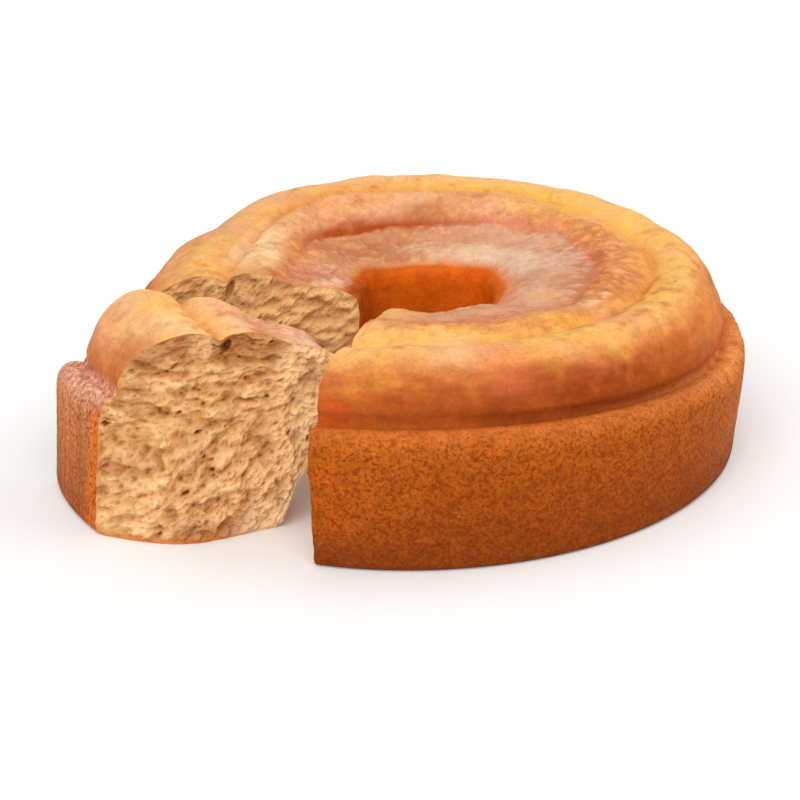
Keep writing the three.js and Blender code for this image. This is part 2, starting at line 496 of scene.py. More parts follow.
def crack_line(azimuth):
    """Radius of the torn edge."""
    ragged = along_ring(azimuth, *CRACK_COURSE) + 0.5 * along_ring(azimuth, *CRACK_RAGS)
    return CRACK_R + CRACK_WIGGLE * ragged


def crack_side(azimuth):
    return np.maximum(0, cos_deg(azimuth - CRACK_AZIMUTH)) ** CRACK_FADE


def crack_sink(r, z, azimuth):
    """A torn step: steep on the outside, and easing away towards the hole."""
    out = r - crack_line(azimuth)
    brink = 1 - smooth(out, 0, CRACK_BRINK)
    fall = np.where(out > 0, brink, np.exp(np.minimum(out, 0) / CRACK_FLOOR))
    gape = CRACK_GAPE_DEPTH * hump(azimuth, *CRACK_GAPE_AT)
    gape = gape * np.exp(-((out + CRACK_GAPE / 3) / CRACK_GAPE) ** 2)
    return (crack_side(azimuth) * fall + gape) * smooth(z, LEDGE_Z, CREST[1])


def crack_shade(r, azimuth):
    """The foot of the torn step, where its darker torn inside and painted shade lie: a thin line that
    gapes at one place.
    """
    gape = hump(azimuth, *CRACK_GAPE_AT)
    middle = crack_line(azimuth) - gape * CRACK_GAPE / 3
    width = mix(CRACK_LINE, CRACK_GAPE, gape)
    there = np.minimum(crack_side(azimuth) + gape, 1)
    return there * (1 - smooth(np.abs(r - middle), width / 2, width * 1.2))


def fold_sink(r, z, azimuth):
    """The line where the rolls meet, almost lost on one side of the ring."""
    left = 1 - FOLD_LOST * hump(azimuth, *FOLD_GAP)
    depth = (FOLD_MEAN + FOLD_CHANGE * along_ring(azimuth, *FOLD_SWELL)) * left
    wiggle = FOLD_WIGGLE * along_ring(azimuth, *FOLD_COURSE)
    return depth * np.exp(-((r - FOLD_R - wiggle) / FOLD_WIDTH) ** 2) * smooth(z, LEDGE_Z, CREST[1])


def tuck(r, z, azimuth):
    """How far the crease under the roll is drawn in."""
    deep = TUCK * np.maximum(0, cos_deg(azimuth - TUCK_AZIMUTH)) ** 2
    eased = TUCK_EASE * np.maximum(0, cos_deg(azimuth - TUCK_EASE_AZIMUTH)) ** 4
    away = np.hypot(r - CREASE[0], z - CREASE[1])
    return (deep - eased) * np.exp(-(away / TUCK_REACH) ** 2)


def gutter(r, z, azimuth):
    """How far the crease on the right drops below the ledge."""
    away = np.hypot(r - GUTTER_R, (z - CREASE[1]) / 2)
    return shifted(azimuth, (GUTTER,)) * np.exp(-(away / GUTTER_REACH) ** 2)


def waver(r, z, azimuth, first, last):
    """How far the surface strays along the ring near a cut, in degrees."""
    stray = 0
    for row, cut in enumerate((first, last)):
        away = np.radians(np.abs(azimuth - cut)) * r
        spot = np.column_stack([r, z, r * 0 + WAVER_ROW * row])
        wave = crumple(spot, WAVER_SIZE) + WAVER_FINE * crumple(spot, WAVER_SIZE / 3)
        stray = stray + WAVER * wave * np.exp(-(away / WAVER_REACH) ** 2)
    return np.degrees(stray / r) * smooth(z, 0, WAVER_FOOT)


def outline_distance(r, z):
    """How far each section point lies from the crust, and where along the crust it is nearest."""
    depth = np.empty(len(r))
    place = np.empty(len(r))
    run = CRUST_RUN / CRUST_RUN[-1]
    start, end = CRUST_LINE, np.roll(CRUST_LINE, -1, axis=0)
    run_end = np.roll(run, -1)
    span = end - start
    long2 = np.maximum((span ** 2).sum(1), 1e-9)
    for part in np.array_split(np.arange(len(r)), max(1, len(r) // POINTS_AT_ONCE)):
        p = np.column_stack([r[part], z[part]])[:, None, :]
        t = np.clip(((p - start) * span).sum(2) / long2, 0, 1)
        d = np.linalg.norm(p - start - t[..., None] * span, axis=2)
        best = d.argmin(1)
        rows = np.arange(len(part))
        depth[part] = d[rows, best]
        place[part] = mix(run[best], run_end[best], t[rows, best])
    return depth, place


def keep(mesh, **kinds):
    for name, values in kinds.items():
        attribute = mesh.attributes.new(name, "FLOAT", "POINT")
        attribute.data.foreach_set("value", np.asarray(values, np.float32))


def let_rise(piece, first, last, swell_at, finish=None):
    """Moves the plain spun mesh to its risen shape, and keeps each point's place in the section."""
    mesh = piece.data
    co = np.empty(len(mesh.vertices) * 3)
    mesh.vertices.foreach_get("co", co)
    co = (co.reshape(-1, 3) - np.array(AXIS)) / MM
    r, z = np.hypot(co[:, 0], co[:, 1]), co[:, 2]
    azimuth = np.degrees(np.arctan2(co[:, 1], co[:, 0]))
    middle = (first + last) / 2
    azimuth = (azimuth - middle + 180) % 360 - 180 + middle
    strayed = azimuth + waver(r, z, azimuth, first, last)
    points = risen(r - tuck(r, z, azimuth), z, strayed, swell_at(azimuth))
    crack = crack_sink(r, z, azimuth)
    fold = fold_sink(r, z, azimuth)
    depth, place = outline_distance(r, z)
    skin = 1 - smooth(depth, 0, SKIN_DEPTH)
    points[:, 2] -= (CRACK_DEPTH * crack + FOLD_DEPTH * fold) * skin + gutter(r, z, azimuth)
    if finish is not None:
        points = finish(points)
    mesh.vertices.foreach_set("co", (points * MM + np.array(AXIS)).ravel())
    mesh.update()
    faces = np.zeros(len(mesh.vertices))
    for side, at in ((1, first), (2, last)):
        faces[np.abs(azimuth - at) < CUT_TOLERANCE] = side
    keep(mesh, across=r * MM, height=z * MM, turn=azimuth, inside=depth * MM, along=place,
         crack=crack_shade(r, azimuth) * skin * (z > LEDGE_Z),
         blush=np.full(len(r), float(finish is not None)), fold=fold * skin, cut=faces)


def lean_slice(points):
    """Bows the front face of the slice, then skews, leans and places it."""
    x, y, z = points.T
    outwards = np.clip((np.hypot(x, y) - BORE_BASE_R) / (BASE_R - BORE_BASE_R), 0, 1)
    bow = np.sin(math.pi * outwards ** SLICE_BOW_BIAS)
    by_hole = 1 - smooth(np.hypot(x, y), BORE_BASE_R, SLICE_TOE_R)
    x = x + SLICE_TOE * by_hole * (1 - smooth(z, *SLICE_TOE_Z))
    lowness = 1 - smooth(z, 0, CREST[1])
    behind = np.degrees(np.arctan2(np.maximum(y, 0), -x))
    y = y - SLICE_BOW * bow * lowness * (1 - smooth(behind, 0, SLICE_ANGLE))
    x = x - SLICE_SKEW * y + SLICE_LEAN * z
    return np.column_stack([x + SLICE_CENTRE[0], y + SLICE_CENTRE[1], z])


# Node trees.

def colour(red, green, blue):
    """A colour given as on a screen, from 0 to 255."""
    share = [c / 255 for c in (red, green, blue)]
    return (*[c / 12.92 if c <= 0.04045 else ((c + 0.055) / 1.055) ** 2.4 for c in share], 1)


def add(tree, kind, inputs=None, **settings):
    node = tree.nodes.new(kind)
    for name, value in settings.items():
        setattr(node, name, value)
    for name, value in (inputs or {}).items():
        if isinstance(value, bpy.types.NodeSocket):
            tree.links.new(value, node.inputs[name])
        else:
            node.inputs[name].default_value = value
    return node


def maths(tree, operation, *values):
    return add(tree, "ShaderNodeMath", dict(enumerate(values)), operation=operation).outputs[0]


def ranged(tree, value, start, end, low=0.0, high=1.0, soft=True):
    node = add(tree, "ShaderNodeMapRange",
               {"Value": value, "From Min": start, "From Max": end, "To Min": low, "To Max": high},
               interpolation_type="SMOOTHSTEP" if soft else "LINEAR")
    return node.outputs["Result"]


def ramp(tree, factor, stops):
    node = add(tree, "ShaderNodeValToRGB", {"Fac": factor})
    points = node.color_ramp.elements
    while len(points) < len(stops):
        points.new(1)
    for point, (place, tint) in zip(points, sorted(stops, key=lambda stop: stop[0])):
        point.position = place
        point.color = tint
    return node.outputs["Color"]


def blend(tree, factor, first, second, kind="MIX"):
    """Two tints mixed. Each is a socket, or a colour given as on a screen."""
    first, second = [colour(*tint) if isinstance(tint, tuple) else tint for tint in (first, second)]
    sides = {0: factor, 6: first, 7: second}
    return add(tree, "ShaderNodeMix", sides, data_type="RGBA", blend_type=kind).outputs[2]


def attribute(tree, name):
    return add(tree, "ShaderNodeAttribute", attribute_name=name).outputs["Fac"]


def relief_tree(name):
    tree = bpy.data.node_groups.new(name, "GeometryNodeTree")
    tree.interface.new_socket("Geometry", in_out="INPUT", socket_type="NodeSocketGeometry")
    tree.interface.new_socket("Geometry", in_out="OUTPUT", socket_type="NodeSocketGeometry")
    return tree, add(tree, "NodeGroupInput"), add(tree, "NodeGroupOutput")


def kept(tree, name):
    node = add(tree, "GeometryNodeInputNamedAttribute", {"Name": name}, data_type="FLOAT")
    return node.outputs["Attribute"]


def stretched(tree, vector, angle, sizes):
    """The vector turned in the section's plane and divided by a size each way."""
    turned = add(tree, "ShaderNodeVectorRotate", {"Vector": vector, "Angle": math.radians(angle)},
                 rotation_type="Z_AXIS").outputs[0]
    scale = tuple(1 / s for s in sizes)
    return add(tree, "ShaderNodeVectorMath", {0: turned, 1: scale}, operation="MULTIPLY").outputs[0]


def field(tree, vector, detail=2.0, rough=0.5, warp=0.0, scale=1.0):
    """Cloudy noise from 0 to 1."""
    return add(tree, "ShaderNodeTexNoise", {"Vector": vector, "Scale": scale, "Detail": detail,
                                            "Roughness": rough, "Distortion": warp}).outputs["Fac"]


def billow(tree, vector, detail, rough):
    """Rounded lumps that meet in sharp creases, from 0 in the creases to about 1."""
    centred = maths(tree, "SUBTRACT", field(tree, vector, detail, rough, 0.3), 0.5)
    return product(tree, maths(tree, "ABSOLUTE", centred), 4.0)


def total(tree, *values):
    result = values[0]
    for value in values[1:]:
        result = maths(tree, "ADD", result, value)
    return result


def product(tree, *values):
    result = values[0]
    for value in values[1:]:
        result = maths(tree, "MULTIPLY", result, value)
    return result


def height_of(tree, value, middle, size):
    return product(tree, maths(tree, "SUBTRACT", value, middle), size)


def rest_of(tree, share):
    """What a share leaves of 1."""
    return maths(tree, "SUBTRACT", 1.0, share)


def scaled(tree, value, size, base):
    return maths(tree, "MULTIPLY_ADD", value, size, base)


def layer(tree, below, tint, *shares):
    """Another tint over the one below, as strong as its shares multiplied."""
    return blend(tree, product(tree, *shares), below, tint)


def squares(tree, aside, above):
    return total(tree, product(tree, aside, aside), product(tree, above, above))


def passing(tree, place, start, end, low=0.0, high=1.0):
    """Goes from one value to another between two points of the crust."""
    return ranged(tree, place, along(start), along(end), low, high)


def zone(tree, place, start, full, fade, end):
    """1 between two points of the crust, with soft ends."""
    return product(tree, passing(tree, place, start, full), passing(tree, place, end, fade))


# Torn crumb, in millimetres: sizes of its lumps where they lie aslant and where they lie level, and
# how far each kind stands out or sinks in.
CRUMB_SLANT = 30
CRUMB_LEVEL_FROM = (28, 50)
CRUMB_LUMPS = ((7, 5.4, 1), (9, 4.4, 1))
CRUMB_KNOBS = ((3.1, 2.6, 1), (3.8, 2.3, 1))
CRUMB_CELLS = (2.0, 1.6, 1)
CRUMB_HOLLOWS = (6, 4, 1)
CRUMB_WARP = 0.4
CUT_SEED = 37.0
LUMP_STEP = 2.3
KNOB_STEP = 1.2
CELL_SINK = -0.7
HOLLOW_SINK = -2.4
DEEP_HOLE = (80, 68.2)
DEEP_HOLE_SIZE = (1.9, 2.6)
DEEP_HOLE_SINK = -4.5

# Rough skin, in millimetres: size of its dents and lumps, and how far they stand out.
SKIN_DENTS = (15, 1.8)
SLOPE_DENTS = (4, 0.5)
TORN_LUMPS = (6.5, 1.3)
SKIN_LUMP_SIZE = 5
LEDGE_LUMP_SIZE = 4
WRINKLE_SIZE = (5.5, 9)
WRINKLE_STEP = 1.7
INNER_ROLL_PER_DEGREE = 1.3

# Where the skin is rougher, in degrees: from nothing to full on each side.
TORN_SIDE = (60.0, 95.0)
ROUGH_LEDGE = ((-60.0, -30.0), (40.0, 10.0))
WRINKLED_SIDE = ((-50.0, -25.0), (45.0, 20.0))


def lumpy(tree, flat, height, sizes):
    """Lumps that lie aslant in the lower part of the cut and level in the upper part."""
    slanted, level = sizes
    low_lumps = field(tree, stretched(tree, flat, CRUMB_SLANT, slanted), warp=CRUMB_WARP)
    top_lumps = field(tree, stretched(tree, flat, 0, level), warp=CRUMB_WARP)
    above = ranged(tree, height, *CRUMB_LEVEL_FROM)
    return add(tree, "ShaderNodeMix", {0: above, 2: low_lumps, 3: top_lumps}).outputs[0]


def crumb_relief(tree, across, height, cut):
    """Torn crumb: big soft lumps, smaller knobs on them, fine cells and a few deep holes."""
    seed = product(tree, cut, CUT_SEED)
    flat = add(tree, "ShaderNodeCombineXYZ", {"X": across, "Y": height, "Z": seed}).outputs[0]
    lumps = lumpy(tree, flat, height, CRUMB_LUMPS)
    knobs = lumpy(tree, flat, height, CRUMB_KNOBS)
    fine = stretched(tree, flat, 0, CRUMB_CELLS)
    cells = add(tree, "ShaderNodeTexVoronoi", {"Vector": fine, "Scale": 1.0}).outputs["Distance"]
    open_cells = ranged(tree, cells, 0.45, 0.1)
    torn_open = ranged(tree, knobs, 0.6, 0.4)
    hollows = field(tree, stretched(tree, flat, CRUMB_SLANT, CRUMB_HOLLOWS), 1.0)
    aside, above = [maths(tree, "DIVIDE", maths(tree, "SUBTRACT", value, middle), size)
                    for value, middle, size in zip((across, height), DEEP_HOLE, DEEP_HOLE_SIZE)]
    away = maths(tree, "SQRT", squares(tree, aside, above))
    return total(tree, height_of(tree, ranged(tree, lumps, 0.32, 0.68), 0.5, LUMP_STEP),
                 height_of(tree, ranged(tree, knobs, 0.3, 0.7), 0.5, KNOB_STEP),
                 product(tree, open_cells, torn_open, CELL_SINK),
                 product(tree, ranged(tree, hollows, 0.68, 0.76), HOLLOW_SINK),
                 product(tree, ranged(tree, away, 1.0, 0.5), DEEP_HOLE_SINK))


def crust_relief(tree, place):
    """Rough skin: dents all over, rougher on the ledge, craggy by the crack and the hole."""
    spot = add(tree, "GeometryNodeInputPosition").outputs[0]
    turn = kept(tree, "turn")

    def dents(size, step):
        cloud = field(tree, stretched(tree, spot, 0, (size * MM,) * 3), 1.0)
        return height_of(tree, cloud, 0.5, step)

    def lumps(size, step=1.0):
        rounded = billow(tree, stretched(tree, spot, 0, (size * MM,) * 3), 2.0, 0.6)
        return height_of(tree, rounded, 0.45, step)

    def on_side(side):
        return product(tree, *[ranged(tree, turn, *end) for end in side])

    risen_skin = passing(tree, place, CREASE, SHOULDER)
    on_ledge = zone(tree, place, LEDGE_BROW, LEDGE_TOP, CREASE, FLANK)
    slope = zone(tree, place, STEP_TOP, SLOPE, LIP, MOUTH)
    near_hole = zone(tree, place, GROOVE, STEP_FOOT, LIP, MOUTH)
    torn = product(tree, on_side((TORN_SIDE,)), zone(tree, place, INNER_CREST, STEP_FOOT, LIP, MOUTH))
    ledge_step = total(tree, scaled(tree, kept(tree, "blush"), 0.9, 0.6),
                       product(tree, on_side(ROUGH_LEDGE), 0.6))
    inner_roll = zone(tree, place, GROOVE, INNER_CREST, STEP_FOOT, SLOPE)
    wrinkled = product(tree, on_side(WRINKLED_SIDE), inner_roll)
    sheet = crust_sheet(tree, turn, place, INNER_ROLL_PER_DEGREE, *WRINKLE_SIZE)
    wrinkles = height_of(tree, billow(tree, sheet, 2.0, 0.6), 0.5, WRINKLE_STEP)
    lump_step = scaled(tree, near_hole, 0.25, 0.14)
    return total(tree, product(tree, dents(*SKIN_DENTS), risen_skin),
                 product(tree, lumps(SKIN_LUMP_SIZE), lump_step),
                 product(tree, lumps(LEDGE_LUMP_SIZE), on_ledge, ledge_step),
                 product(tree, dents(*SLOPE_DENTS), slope),
                 product(tree, lumps(*TORN_LUMPS), torn),
                 product(tree, wrinkles, wrinkled))


def relief():
    """Torn crumb on the cut faces and a rough skin on the crust. The relief is kept as "rise"."""
    tree, start, end = relief_tree("relief")
    across, height, inside = [product(tree, kept(tree, name), 1 / MM)
                              for name in ("across", "height", "inside")]
    cut = kept(tree, "cut")
    on_cut = ranged(tree, cut, 0.4, 0.6)
    on_crust = rest_of(tree, on_cut)
    off_base = ranged(tree, height, 0.0, 2.5)
    crumb = crumb_relief(tree, across, height, cut)
    from_edge = ranged(tree, inside, 0.0, 2.2, 0.08, 1.0)
    skin = crust_relief(tree, kept(tree, "along"))
    moves = total(tree, product(tree, crumb, on_cut, from_edge),
                  product(tree, skin, on_crust, off_base))
    seen = total(tree, product(tree, crumb, on_cut), product(tree, skin, on_crust))
    normal = add(tree, "GeometryNodeInputNormal").outputs[0]
    push = product(tree, moves, MM)
    offset = add(tree, "ShaderNodeVectorMath", {0: normal, "Scale": push}, operation="SCALE").outputs[0]
    stored = add(tree, "GeometryNodeStoreNamedAttribute",
                 {"Geometry": start.outputs[0], "Name": "rise", "Value": seen},
                 data_type="FLOAT", domain="POINT")
    moved = add(tree, "GeometryNodeSetPosition", {"Geometry": stored.outputs[0], "Offset": offset})
    tree.links.new(moved.outputs[0], end.inputs[0])
    return tree


def roughen(piece, tree):
    bpy.context.view_layer.objects.active = piece
    modifier = piece.modifiers.new("relief", "NODES")
    modifier.node_group = tree
    bpy.ops.object.modifier_apply(modifier=modifier.name)


# Materials.

RING_PER_DEGREE = 100 * math.pi / 180


def new_group(name, output, **inputs):
    group = bpy.data.node_groups.new(name, "ShaderNodeTree")
    for socket, value in inputs.items():
        made = group.interface.new_socket(socket, in_out="INPUT", socket_type="NodeSocketFloat")
        made.default_value = value
    group.interface.new_socket(output, in_out="OUTPUT", socket_type="NodeSocketFloat")
    return group, add(group, "NodeGroupInput"), add(group, "NodeGroupOutput")


def sized_noise(group, given, detail, rough):
    """Noise of the size that is given to the group, from 0 to 1."""
    where = add(group, "ShaderNodeTexCoord").outputs["Object"]
    scale = maths(group, "DIVIDE", 1.0, given.outputs["Size"])
    return field(group, where, detail, rough, scale=scale)


def mottle_group():
    """Soft uneven patches, as a value round 1."""
    group, given, result = new_group("mottle", "Value", Size=0.02, Spread=0.1)
    centred = maths(group, "SUBTRACT", sized_noise(group, given, 3.0, 0.5), 0.5)
    spread = product(group, given.outputs["Spread"], 4.0)
    group.links.new(scaled(group, centred, spread, 1.0), result.inputs[0])
    return group


def pores_group():
    """Small pores of uneven shape: a mask that is 1 in the middle of each."""
    group, given, result = new_group("pores", "Mask", Size=0.002, Start=0.6)
    cloud = sized_noise(group, given, 1.5, 0.6)
    full = maths(group, "ADD", given.outputs["Start"], 0.12)
    group.links.new(ranged(group, cloud, given.outputs["Start"], full), result.inputs[0])
    return group


def grain_group():
    """Fine grain of baked batter, from 0 to 1."""
    group, given, result = new_group("grain", "Height", Size=0.001)
    group.links.new(sized_noise(group, given, 2.0, 0.65), result.inputs[0])
    return group


MOTTLE = mottle_group()
PORES = pores_group()
GRAIN = grain_group()


def use(tree, group, **values):
    return add(tree, "ShaderNodeGroup", values, node_tree=group).outputs[0]


def mottle(tree, size, spread=0.5):
    return use(tree, MOTTLE, Size=size, Spread=spread)


def new_material(name):
    material = bpy.data.materials.new(name)
    material.use_nodes = True
    tree = material.node_tree
    return material, tree, tree.nodes["Principled BSDF"]


def set_surface(tree, shader, tint, rough, shine):
    tree.links.new(tint, shader.inputs["Base Color"])
    shader.inputs["Roughness"].default_value = rough
    shader.inputs["Specular IOR Level"].default_value = shine


def set_bumps(tree, shader, bumps, strength, height):
    bump = add(tree, "ShaderNodeBump", {"Strength": strength, "Distance": height * MM, "Height": bumps})
    tree.links.new(bump.outputs[0], shader.inputs["Normal"])


def ragged(tree, size):
    """Uneven strength of a patch, from 0.4 to 1."""
    return ranged(tree, mottle(tree, size), 0.6, 1.3, 0.4, 1.0)


def facing(tree, azimuth, spread):
    """1 at one azimuth of the ring, falling away on both sides of it."""
    turn = maths(tree, "RADIANS", attribute(tree, "turn"))
    away = maths(tree, "SUBTRACT", turn, math.radians(azimuth))
    near = scaled(tree, maths(tree, "COSINE", away), 0.5, 0.5)
    return maths(tree, "POWER", near, 4 / math.radians(spread) ** 2)


def crust_sheet(tree, turn, place, per_degree, length, width):
    """Coordinates that follow the crust: round it and up the section, each divided by a size."""
    around = product(tree, turn, per_degree / length)
    up = product(tree, place, CRUST_RUN[-1] / width)
    return add(tree, "ShaderNodeCombineXYZ", {"X": around, "Y": up}).outputs[0]


def stops(*tints):
    """Stops of a ramp from places along the crust, each a share of it or a point."""
    return [(place if isinstance(place, float) else along(place), colour(*tint))
            for place, *tint in tints]


def baked_tint(tree, place):
    """Colour of the baked skin along the section, with uneven borders between the tints. It darkens
    towards the crease partly by browning and partly as painted shade.
    """
    patches = mottle(tree, 0.016)
    uneven = scaled(tree, patches, 0.012, -0.012)
    risen_skin = zone(tree, place, CREASE, FLANK, CREST, GROOVE)
    # Painted shade: at the front the darker flank tints reach higher up the roll, for its steeper
    # slope.
    front = product(tree, facing(tree, -90, 66), -0.014, risen_skin)
    moved = total(tree, place, uneven, front)
    return ramp(tree, moved, stops(
        (0.0, 126, 58, 13),
        (WALL_MIDDLE, 154, 73, 14),
        (WALL_TOP, 164, 81, 18),
        ((115, 52), 192, 102, 42),
        (LEDGE_FOOT, 172, 84, 28),
        (CREASE_TOP, 160, 74, 24),
        (FLANK, 178, 88, 34),
        (FLANK_TOP, 186, 96, 42),
        (SHOULDER, 200, 112, 54),
        ((101, 70.8), 228, 156, 86),
        (CREST, 239, 183, 101),
        (GROOVE, 236, 165, 86),
        (INNER_CREST, 229, 160, 93),
        (STEP_TOP, 222, 145, 90),
        (STEP_FOOT, 218, 148, 104),
        (SLOPE, 216, 154, 114),
        (LIP, 218, 146, 100),
        ((33, 64.2), 216, 128, 66),
        (MOUTH, 206, 94, 22),
        ((NECK_R, NECK_TOP_Z), 214, 96, 12),
        (1.0, 190, 84, 14),
    ))


def slice_tint(tree, place):
    """Colour of the slice's paler skin along the section."""
    return ramp(tree, place, stops(
        (0.0, 160, 80, 28),
        (WALL_MIDDLE, 196, 118, 64),
        (WALL_TOP, 206, 130, 82),
        (LEDGE_TOP, 232, 174, 146),
        (LEDGE_FOOT, 214, 144, 114),
        (CREASE_TOP, 168, 86, 40),
        (FLANK, 196, 112, 56),
        (SHOULDER, 224, 156, 98),
        (CREST, 246, 200, 142),
        (GROOVE, 250, 206, 122),
        (INNER_CREST, 242, 188, 142),
        (STEP_TOP, 234, 176, 132),
        (SLOPE, 240, 186, 146),
        (MOUTH, 230, 162, 110),
    ))


def patch(tree, skin, place, azimuth, spread, reach, tint, strength):
    """A soft uneven patch of another tint, between four points of the section."""
    return layer(tree, skin, tint, facing(tree, azimuth, spread), zone(tree, place, *reach),
                 ragged(tree, 0.006), strength)


def local_tints(tree, skin, place, on_ring):
    """Patches that differ from one side of the ring to another: tints of the crust, with painted shade
    and painted light among them.
    """
    roll = (SHOULDER, CREST, GROOVE, INNER_CREST)
    roll_edge = ((107, 66), (103, 69.8), CREST, (89, 73))
    roll_front = (FLANK, SHOULDER, CREST, GROOVE)
    flank = (CREASE_FOOT, CREASE, FLANK_TOP, (104, 69))
    flank_middle = (FLANK, (109.8, 61), (105.5, 67.3), (99.5, 71.8))
    flank_top = (FLANK, FLANK_TOP, SHOULDER, CREST)
    flank_foot = (CREASE_FOOT, CREASE, (110.5, 58), (109, 63))
    inner_roll = (GROOVE, INNER_CREST, STEP_TOP, STEP_FOOT)
    inner_top = ((76, 73), INNER_CREST, (66, 72.6), (61, 70.4))
    back_end = ((88, 73), GROOVE, (70, 73.2), (63, 71.5))
    groove = (CREST, (86, 72), (79, 72.2), INNER_CREST)
    inner_edge = (INNER_CREST, STEP_TOP, STEP_FOOT, SLOPE)
    torn_edge = ((70, 73.2), (66, 72.6), (62.5, 71), STEP_FOOT)
    slope = (STEP_TOP, STEP_FOOT, LIP, MOUTH)
    slope_top = (STEP_TOP, STEP_FOOT, (54, 68.9), SLOPE)
    hole = (LIP, MOUTH, BELL, (BORE_BASE_R, BORE_ROUND))
    ledge = (LEDGE_BROW, (117, 52), CREASE, FLANK)
    lip = ((118.5, 36), (119.3, 46), (114, 52), CREASE)
    wall = ((115, 4), (117, 22), (119, 42), LEDGE_TOP)
    patches = (
        (58, 30, roll, (246, 190, 78), 0.75),
        (20, 24, roll, (252, 196, 106), 0.6),
        (140, 45, roll, (216, 146, 86), 0.6),
        # Painted shade under the overhanging roll on the front right.
        (-62, 25, flank, (126, 48, 6), 0.85),
        (-68, 24, roll_edge, (250, 186, 96), 0.35),
        # Darker middle of the front flank: browner crust and painted shade.
        (-72, 21, flank_middle, (150, 62, 20), 0.7),
        # Lighter crest at the front left: partly a painted highlight.
        (-108, 7, roll, (255, 208, 132), 0.5),
        # Painted shade on the flank under the roll on the right.
        (-42, 15, flank, (146, 66, 6), 0.6),
        (-16, 14, flank_top, (204, 124, 54), 0.6),
        (100, 45, inner_roll, (236, 178, 138), 0.75),
        # Darker brown by the torn edge: browner crust with painted shade under its overhang.
        (88, 9, torn_edge, (176, 112, 58), 0.9),
        (68, 9, slope_top, (194, 114, 70), 0.6),
        (-107, 8, inner_roll, (255, 204, 136), 0.5),
        (95, 60, roll_front, (236, 190, 158), 0.65),
        # Pinker crust with a painted highlight on the front roll.
        (-84, 9, roll, (244, 192, 152), 0.7),
        (-77, 6, roll_front, (222, 118, 74), 0.5),
        (-109, 4, flank_foot, (196, 72, 24), 0.6),
        (-66, 30, slope, (218, 158, 126), 0.75),
        (-105, 13, slope, (240, 182, 112), 0.75),
        (-72, 26, inner_edge, (220, 152, 116), 0.6),
        (-100, 25, groove, (254, 198, 104), 0.7),
        (112, 20, slope, (192, 128, 78), 0.8),
        (-40, 26, inner_roll, (224, 146, 74), 0.7),
        (-37, 10, inner_top, (255, 204, 160), 0.75),
        (-52, 17, inner_edge, (212, 126, 92), 0.75),
        (150, 30, slope, (206, 140, 104), 0.6),
        # Painted shade on the left side of the hole's inside.
        (165, 45, hole, (138, 56, 6), 0.85),
        # Lighter orange ledge on the far right: its own colour with painted light.
        (-14, 30, ledge, (232, 148, 80), 0.8),
        # Painted shade: a dark line where the wall meets the ledge on the right.
        (-42, 14, lip, (160, 78, 18), 0.4),
        # Painted light on the wall at the far right.
        (-10, 20, wall, (208, 120, 34), 0.55),
        (-106, 13, wall, (190, 98, 28), 0.4),
        (-108, 3, wall, (198, 76, 18), 0.25),
    )
    for row in patches:
        skin = patch(tree, skin, place, *row)
    return patch(tree, skin, place, 163, 20, back_end, (255, 224, 174), product(tree, on_ring, 0.85))


def mottled(tree, skin, on_top):
    """Rosy and golden patches on the top, and clouds of light and dark all over."""
    for size, tint in ((0.023, (236, 164, 122)), (0.017, (254, 192, 80)), (0.008, (198, 110, 46))):
        skin = layer(tree, skin, tint, ranged(tree, mottle(tree, size), 1.0, 1.45, 0.0, 0.7), on_top)
    return blend(tree, 1.0, skin, mottle(tree, 0.005, 0.18), "MULTIPLY")


def streaked(tree, skin, where, length, width, strength):
    """Light and dark streaks that run along the crust."""
    turn, place = attribute(tree, "turn"), attribute(tree, "along")
    sheet = crust_sheet(tree, turn, place, RING_PER_DEGREE, length, width)
    streaks = height_of(tree, field(tree, sheet), 0.5, strength)
    return blend(tree, 1.0, skin, scaled(tree, streaks, where, 1.0), "MULTIPLY")


def slice_skin(tree, skin, place, on_wall, on_flank):
    """The slice is paler and rosier than the ring, with an orange band along its front edge."""
    blush, turn = attribute(tree, "blush"), attribute(tree, "turn")
    wall = product(tree, blush, on_wall)
    skin = layer(tree, skin, slice_tint(tree, place), blush, 0.8)
    skin = streaked(tree, skin, wall, 2.2, 60, 1.1)
    skin = layer(tree, skin, (206, 106, 30), wall, ranged(tree, turn, 175.5, 178.0), 0.8)
    skin = layer(tree, skin, (186, 98, 38), blush, on_flank, ranged(tree, turn, 166.0, 179.0), 0.6)
    spots = ranged(tree, mottle(tree, 0.0022), 0.6, 1.4)
    rough = blend(tree, spots, (182, 104, 68), (236, 180, 152))
    ledge = zone(tree, place, (119.4, 45), (117, 52), CREASE, FLANK)
    return layer(tree, skin, rough, blush, ledge, 0.8)


